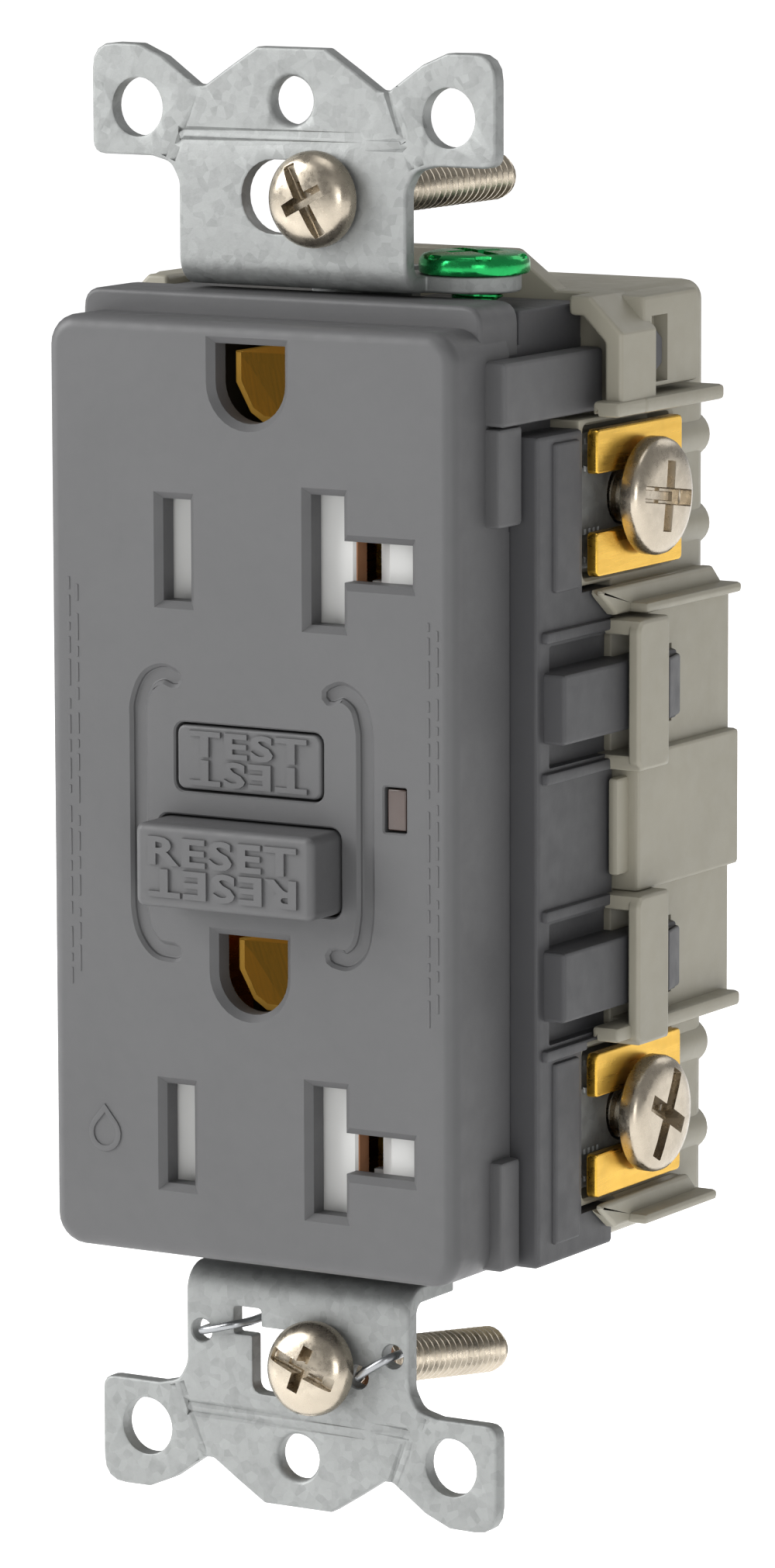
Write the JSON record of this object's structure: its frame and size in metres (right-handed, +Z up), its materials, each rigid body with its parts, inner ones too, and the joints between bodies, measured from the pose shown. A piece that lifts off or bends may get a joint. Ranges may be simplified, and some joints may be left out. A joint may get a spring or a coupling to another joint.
{
  "type": "gfci outlet",
  "caption": "Duplex ground-fault receptacle with a flat rectangular face, tee slots, test and reset buttons, steel yoke, screws and side terminals.",
  "frame": {"origin": "centre of the mounting yoke's front plane, midway between its two device-screw slots", "axes": "+X to the right seen from the front, +Y into the wall, +Z up along the yoke, ground holes above their blade slots"},
  "size_m": [0.0434, 0.0379, 0.1042],
  "materials": {
    "face_plastic": "fine satin moulded plastic, mid gray",
    "housing_plastic": "satin moulded plastic, dark gray",
    "body_plastic": "satin moulded plastic, warm gray",
    "zinc_steel": "galvanized, faintly mottled",
    "nickel_screw": "nickel plated, bright",
    "brass": "bright rolled sheet",
    "green_metal": "green dyed plating, glossy",
    "spring_steel": "drawn wire",
    "white_plastic": "smooth",
    "dark_steel": "oiled",
    "lens": "tinted, clear",
    "board_green": "solder mask",
    "copper": "enamelled copper wire and bars",
    "black_plastic": "moulded",
    "fibre": "vulcanised fibre",
    "varistor_blue": "dipped epoxy"
  },
  "bodies": {
    "root": {"front_cover": "face_plastic", "mid_housing": "housing_plastic", "back_body": "body_plastic", "mounting_yoke": "zinc_steel", "ground_clip": "spring_steel", "reset_spring": "spring_steel", "test_spring": "spring_steel", "button_frame": "white_plastic", "shutter_tray_upper": "white_plastic", "shutter_tray_lower": "white_plastic", "shutter_spring_upper": "spring_steel", "shutter_spring_lower": "spring_steel", "hot_strip": "brass", "neutral_strip": "brass", "ground_contact_upper": "brass", "ground_contact_lower": "brass", "ground_rivet_upper": "zinc_steel", "ground_rivet_lower": "zinc_steel", "circuit_board": "board_green", "varistor": "varistor_blue", "capacitor": "black_plastic", "controller_chip": "black_plastic", "light_pipe": "lens", "sensing_toroid": "copper", "neutral_toroid": "copper", "line_conductor_hot": "copper", "line_conductor_neutral": "copper", "solenoid_bobbin": "black_plastic", "solenoid_coil": "copper", "plunger_spring": "spring_steel", "terminal_plate_upper_right": "brass", "terminal_plate_upper_left": "brass", "terminal_plate_lower_right": "brass", "terminal_plate_lower_left": "brass"},
    "test_button": {"test_button": "face_plastic"},
    "reset_button": {"reset_button": "face_plastic", "reset_pin": "spring_steel"},
    "latch_carrier": {"latch_carrier": "white_plastic"},
    "latch_plate": {"latch_plate": "dark_steel"},
    "contact_arm_neutral": {"contact_arm_neutral": "brass"},
    "contact_arm_hot": {"contact_arm_hot": "brass"},
    "solenoid_plunger": {"solenoid_plunger": "spring_steel"},
    "shutter_upper": {"shutter_upper": "white_plastic"},
    "shutter_lower": {"shutter_lower": "white_plastic"},
    "ground_screw": {"ground_screw": "green_metal"},
    "screw_washer_upper": {"screw_washer_upper": "fibre"},
    "screw_washer_lower": {"screw_washer_lower": "fibre"},
    "mounting_screw_upper": {"mounting_screw_upper": "nickel_screw"},
    "mounting_screw_lower": {"mounting_screw_lower": "nickel_screw"},
    "terminal_screw_upper_right": {"terminal_screw_upper_right": "nickel_screw"},
    "clamp_plate_upper_right": {"clamp_plate_upper_right": "zinc_steel"},
    "terminal_screw_upper_left": {"terminal_screw_upper_left": "brass"},
    "clamp_plate_upper_left": {"clamp_plate_upper_left": "zinc_steel"},
    "terminal_screw_lower_right": {"terminal_screw_lower_right": "nickel_screw"},
    "clamp_plate_lower_right": {"clamp_plate_lower_right": "zinc_steel"},
    "terminal_screw_lower_left": {"terminal_screw_lower_left": "brass"},
    "clamp_plate_lower_left": {"clamp_plate_lower_left": "zinc_steel"}
  },
  "joints": [
    {"name": "test_press", "type": "slide", "parent": "root", "child": "test_button", "axis": [0, 1, 0], "range_m": [0, 0.0012], "stiffness_N_per_m": 800, "deforming": ["test_spring"]},
    {"name": "reset_press", "type": "slide", "parent": "root", "child": "reset_button", "axis": [0, 1, 0], "range_m": [0, 0.003], "stiffness_N_per_m": 400, "deforming": ["reset_spring"]},
    {"name": "carrier_lift", "type": "slide", "parent": "root", "child": "latch_carrier", "axis": [0, -1, 0], "range_m": [0, 0.0012]},
    {"name": "latch_release", "type": "slide", "parent": "latch_carrier", "child": "latch_plate", "axis": [0, 0, -1], "range_m": [0, 0.001]},
    {"name": "arm_neutral_close", "type": "hinge", "parent": "root", "child": "contact_arm_neutral", "pos_m": [0.0065, 0.01185, -0.0205], "axis": [1, 0, 0], "range_deg": [0, 4.3]},
    {"name": "arm_hot_close", "type": "hinge", "parent": "root", "child": "contact_arm_hot", "pos_m": [-0.0065, 0.01185, -0.0205], "axis": [1, 0, 0], "range_deg": [0, 4.3]},
    {"name": "plunger_pull", "type": "slide", "parent": "root", "child": "solenoid_plunger", "axis": [0, 0, -1], "range_m": [0, 0.001], "stiffness_N_per_m": 200, "deforming": ["plunger_spring"]},
    {"name": "ground_screw_turn", "type": "hinge", "parent": "root", "child": "ground_screw", "pos_m": [0.0113, 0.006, 0.0366], "axis": [0, 0, 1], "range_deg": [0, 720]},
    {"name": "washer_slide_upper", "type": "slide", "parent": "root", "child": "screw_washer_upper", "axis": [1, 0, 0], "range_m": [-0.0044, 0]},
    {"name": "washer_slide_lower", "type": "slide", "parent": "root", "child": "screw_washer_lower", "axis": [1, 0, 0], "range_m": [-0.0038, 0]},
    {"name": "mounting_screw_turn_upper", "type": "hinge", "parent": "screw_washer_upper", "child": "mounting_screw_upper", "pos_m": [0.0022, 0, 0.04167], "axis": [0, -1, 0], "continuous": true},
    {"name": "mounting_screw_turn_lower", "type": "hinge", "parent": "screw_washer_lower", "child": "mounting_screw_lower", "pos_m": [0.0019, -0.0008, -0.04147], "axis": [0, -0.9903, 0.1392], "continuous": true},
    {"name": "shutter_open_upper", "type": "slide", "parent": "root", "child": "shutter_upper", "axis": [-1, 0, 0], "range_m": [0, 0.0025], "stiffness_N_per_m": 100, "deforming": ["shutter_spring_upper"]},
    {"name": "shutter_open_lower", "type": "slide", "parent": "root", "child": "shutter_lower", "axis": [-1, 0, 0], "range_m": [0, 0.0025], "stiffness_N_per_m": 100, "deforming": ["shutter_spring_lower"]},
    {"name": "terminal_turn_upper_right", "type": "hinge", "parent": "root", "child": "terminal_screw_upper_right", "pos_m": [0.0199, 0.0155, 0.0204], "axis": [-1, 0, 0], "range_deg": [0, 360]},
    {"name": "clamp_draw_upper_right", "type": "slide", "parent": "root", "child": "clamp_plate_upper_right", "axis": [1, 0, 0], "range_m": [0, 0.0008]},
    {"name": "terminal_turn_upper_left", "type": "hinge", "parent": "root", "child": "terminal_screw_upper_left", "pos_m": [-0.0199, 0.0155, 0.0204], "axis": [1, 0, 0], "range_deg": [0, 360]},
    {"name": "clamp_draw_upper_left", "type": "slide", "parent": "root", "child": "clamp_plate_upper_left", "axis": [-1, 0, 0], "range_m": [0, 0.0008]},
    {"name": "terminal_turn_lower_right", "type": "hinge", "parent": "root", "child": "terminal_screw_lower_right", "pos_m": [0.0199, 0.0155, -0.0239], "axis": [-1, 0, 0], "range_deg": [0, 360]},
    {"name": "clamp_draw_lower_right", "type": "slide", "parent": "root", "child": "clamp_plate_lower_right", "axis": [1, 0, 0], "range_m": [0, 0.0008]},
    {"name": "terminal_turn_lower_left", "type": "hinge", "parent": "root", "child": "terminal_screw_lower_left", "pos_m": [-0.0199, 0.0155, -0.0239], "axis": [1, 0, 0], "range_deg": [0, 360]},
    {"name": "clamp_draw_lower_left", "type": "slide", "parent": "root", "child": "clamp_plate_lower_left", "axis": [-1, 0, 0], "range_m": [0, 0.0008]}
  ],
  "couplings": [
    {"joint": "carrier_lift", "follows": "reset_press", "ratio": 0.4},
    {"joint": "arm_neutral_close", "follows": "reset_press", "rad_per_m": 24.4},
    {"joint": "arm_hot_close", "follows": "reset_press", "rad_per_m": 24.4},
    {"joint": "latch_release", "follows": "plunger_pull", "ratio": 1},
    {"joint": "clamp_draw_upper_right", "follows": "terminal_turn_upper_right", "m_per_rad": 0.00012637},
    {"joint": "clamp_draw_upper_left", "follows": "terminal_turn_upper_left", "m_per_rad": 0.00012637},
    {"joint": "clamp_draw_lower_right", "follows": "terminal_turn_lower_right", "m_per_rad": 0.00012637},
    {"joint": "clamp_draw_lower_left", "follows": "terminal_turn_lower_left", "m_per_rad": 0.00012637}
  ]
}
